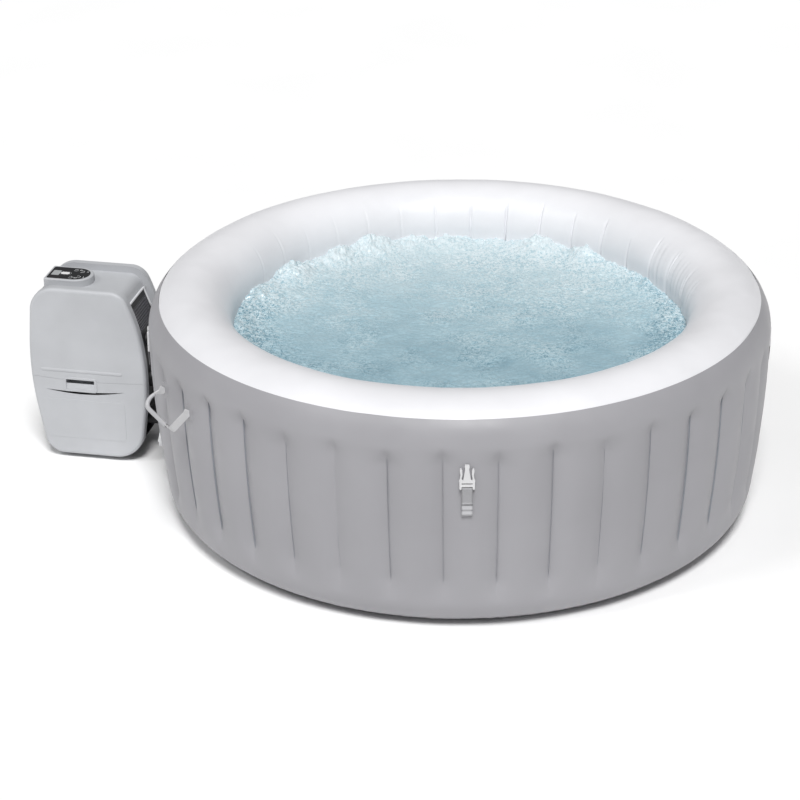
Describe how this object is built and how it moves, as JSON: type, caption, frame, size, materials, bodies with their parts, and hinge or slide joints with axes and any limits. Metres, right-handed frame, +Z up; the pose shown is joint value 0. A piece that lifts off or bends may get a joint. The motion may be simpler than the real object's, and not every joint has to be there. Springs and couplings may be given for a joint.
{
  "type": "inflatable hot tub",
  "caption": "Round inflatable hot tub with a webbed air wall, cover-strap buckles, carry handles and a plug-in pump, heater and bubble unit.",
  "frame": {"origin": "centre of the tub's base, on the floor", "axes": "+Z up along the tub's axis, -Y towards the front cover buckle, -X towards the pump unit"},
  "size_m": [2.082, 1.7152, 0.6398],
  "materials": {
    "tub_grey": "satin laminated vinyl over polyester mesh",
    "tub_white": "satin laminated vinyl over polyester mesh",
    "tub_base": "matt laminated vinyl",
    "white_pvc": "satin moulded",
    "filter_paper": "pleated non-woven",
    "webbing": "woven polyester webbing",
    "buckle_plastic": "satin moulded",
    "grip_plastic": "satin soft vinyl",
    "casing_grey": "satin, fine moulded texture",
    "black_plastic": "satin moulded",
    "grille_grey": "satin moulded",
    "panel_black": "gloss",
    "key_black": "satin",
    "key_white": "gloss",
    "display": "gloss",
    "board_green": "solder mask",
    "motor_metal": "satin",
    "stainless": "brushed",
    "rubber": "matt"
  },
  "bodies": {
    "tub": {"air_channel_ring": "white_pvc", "air_intake_grille": "grille_grey", "air_wall_pipe": "white_pvc", "back_panel": "black_plastic", "base_sheet": "tub_base", "blower_casing": "black_plastic", "blower_motor": "motor_metal", "cable_gland": "black_plastic", "centre_housing": "casing_grey", "control_board": "board_green", "control_console": "casing_grey", "cover_screws": "stainless", "display_window": "display", "drain_valve_body": "white_pvc", "filter_cartridge": "filter_paper", "filter_housing": "white_pvc", "front_lower_cover": "casing_grey", "front_upper_cover": "casing_grey", "grip_inserts": "casing_grey", "heater_tube": "stainless", "heating_element": "stainless", "inflation_valve_body": "white_pvc", "outer_wall": "tub_grey", "panel_face": "panel_black", "pump_motor": "motor_metal", "rear_lower_cover": "casing_grey", "rear_upper_cover": "casing_grey", "rubber_feet": "rubber", "strap_patches": "tub_grey", "tension_webs": "tub_base", "top_and_inner_wall": "tub_white", "transfer_hose": "rubber", "water_pump_casing": "black_plastic", "water_wall_pipes": "white_pvc"},
    "cover_buckle_front": {"buckle_front": "buckle_plastic", "buckle_strap_front": "webbing"},
    "cover_buckle_right": {"buckle_right": "buckle_plastic", "buckle_strap_right": "webbing"},
    "cover_buckle_back": {"buckle_back": "buckle_plastic", "buckle_strap_back": "webbing"},
    "cover_buckle_left": {"buckle_left": "buckle_plastic", "buckle_strap_left": "webbing"},
    "carry_handle_left": {"carry_handle_strap_left": "webbing", "carry_handle_grip_left": "grip_plastic"},
    "carry_handle_right": {"carry_handle_strap_right": "webbing", "carry_handle_grip_right": "grip_plastic"},
    "suction_coupling": {"suction_collar": "black_plastic"},
    "return_coupling": {"return_collar": "black_plastic"},
    "air_coupling": {"air_collar": "black_plastic"},
    "filter_lid": {"filter_cap": "white_pvc"},
    "return_strainer": {"return_screen": "white_pvc"},
    "drain_closure": {"drain_cap": "white_pvc"},
    "inflation_closure": {"inflation_valve_cap": "white_pvc"},
    "impeller_rotor": {"impeller": "black_plastic"},
    "blower_rotor": {"blower_fan": "black_plastic"},
    "heat_button": {"heat_key": "key_black"},
    "filter_button": {"filter_key": "key_black"},
    "bubble_button": {"bubble_key": "key_black"},
    "timer_button": {"timer_key": "key_black"},
    "power_button": {"power_key": "key_white"}
  },
  "joints": [
    {"name": "buckle_fold_front", "type": "hinge", "parent": "tub", "child": "cover_buckle_front", "pos_m": [0.01784, -0.85141, 0.373], "axis": [0.9998, 0.0209, 0], "range_deg": [0, 150]},
    {"name": "buckle_fold_right", "type": "hinge", "parent": "tub", "child": "cover_buckle_right", "pos_m": [0.85141, 0.01784, 0.373], "axis": [-0.0209, 0.9998, 0], "range_deg": [0, 150]},
    {"name": "buckle_fold_back", "type": "hinge", "parent": "tub", "child": "cover_buckle_back", "pos_m": [-0.01784, 0.85141, 0.373], "axis": [-0.9998, -0.0209, 0], "range_deg": [0, 150]},
    {"name": "buckle_fold_left", "type": "hinge", "parent": "tub", "child": "cover_buckle_left", "pos_m": [-0.85141, -0.01784, 0.373], "axis": [0.0209, -0.9998, 0], "range_deg": [0, 150]},
    {"name": "handle_swing_left", "type": "hinge", "parent": "tub", "child": "carry_handle_left", "pos_m": [-0.74328, -0.41711, 0.46], "axis": [-0.4894, 0.8721, 0], "range_deg": [-15, 95]},
    {"name": "handle_swing_right", "type": "hinge", "parent": "tub", "child": "carry_handle_right", "pos_m": [0.74328, 0.41711, 0.46], "axis": [0.4894, -0.8721, 0], "range_deg": [-15, 95]},
    {"name": "suction_collar_turn", "type": "hinge", "parent": "tub", "child": "suction_coupling", "pos_m": [-0.83084, 0.23281, 0.105], "axis": [-0.9816, 0.1908, 0], "range_deg": [0, 360]},
    {"name": "return_collar_turn", "type": "hinge", "parent": "tub", "child": "return_coupling", "pos_m": [-0.83084, 0.23281, 0.225], "axis": [-0.9816, 0.1908, 0], "range_deg": [0, 360]},
    {"name": "air_collar_turn", "type": "hinge", "parent": "tub", "child": "air_coupling", "pos_m": [-0.83084, 0.23281, 0.345], "axis": [-0.9816, 0.1908, 0], "range_deg": [0, 360]},
    {"name": "filter_cap_turn", "type": "hinge", "parent": "tub", "child": "filter_lid", "pos_m": [-0.48927, 0.16642, 0.105], "axis": [0.9816, -0.1908, 0], "range_deg": [0, 60]},
    {"name": "return_screen_turn", "type": "hinge", "parent": "tub", "child": "return_strainer", "pos_m": [-0.57173, 0.18244, 0.225], "axis": [0.9816, -0.1908, 0], "range_deg": [0, 60]},
    {"name": "drain_cap_turn", "type": "hinge", "parent": "tub", "child": "drain_closure", "pos_m": [-0.835, 0, 0.147], "axis": [-1, 0, 0], "range_deg": [0, 360]},
    {"name": "inflation_cap_turn", "type": "hinge", "parent": "tub", "child": "inflation_closure", "pos_m": [-0.64345, 0.55541, 0.3], "axis": [-0.757, 0.6534, 0], "range_deg": [0, 90]},
    {"name": "impeller_spin", "type": "hinge", "parent": "tub", "child": "impeller_rotor", "pos_m": [-0.9879, 0.26334, 0.105], "axis": [-0.9816, 0.1908, 0], "continuous": true},
    {"name": "blower_spin", "type": "hinge", "parent": "tub", "child": "blower_rotor", "pos_m": [-1.05482, 0.23356, 0.345], "axis": [0, 0, 1], "continuous": true},
    {"name": "heat_key_press", "type": "slide", "parent": "tub", "child": "heat_button", "axis": [0, 0, -1], "range_m": [0, 0.0005], "stiffness_N_per_m": 800},
    {"name": "filter_key_press", "type": "slide", "parent": "tub", "child": "filter_button", "axis": [0, 0, -1], "range_m": [0, 0.0005], "stiffness_N_per_m": 800},
    {"name": "bubble_key_press", "type": "slide", "parent": "tub", "child": "bubble_button", "axis": [0, 0, -1], "range_m": [0, 0.0005], "stiffness_N_per_m": 800},
    {"name": "timer_key_press", "type": "slide", "parent": "tub", "child": "timer_button", "axis": [0, 0, -1], "range_m": [0, 0.0005], "stiffness_N_per_m": 800},
    {"name": "power_key_press", "type": "slide", "parent": "tub", "child": "power_button", "axis": [0, 0, -1], "range_m": [0, 0.0005], "stiffness_N_per_m": 800}
  ]
}
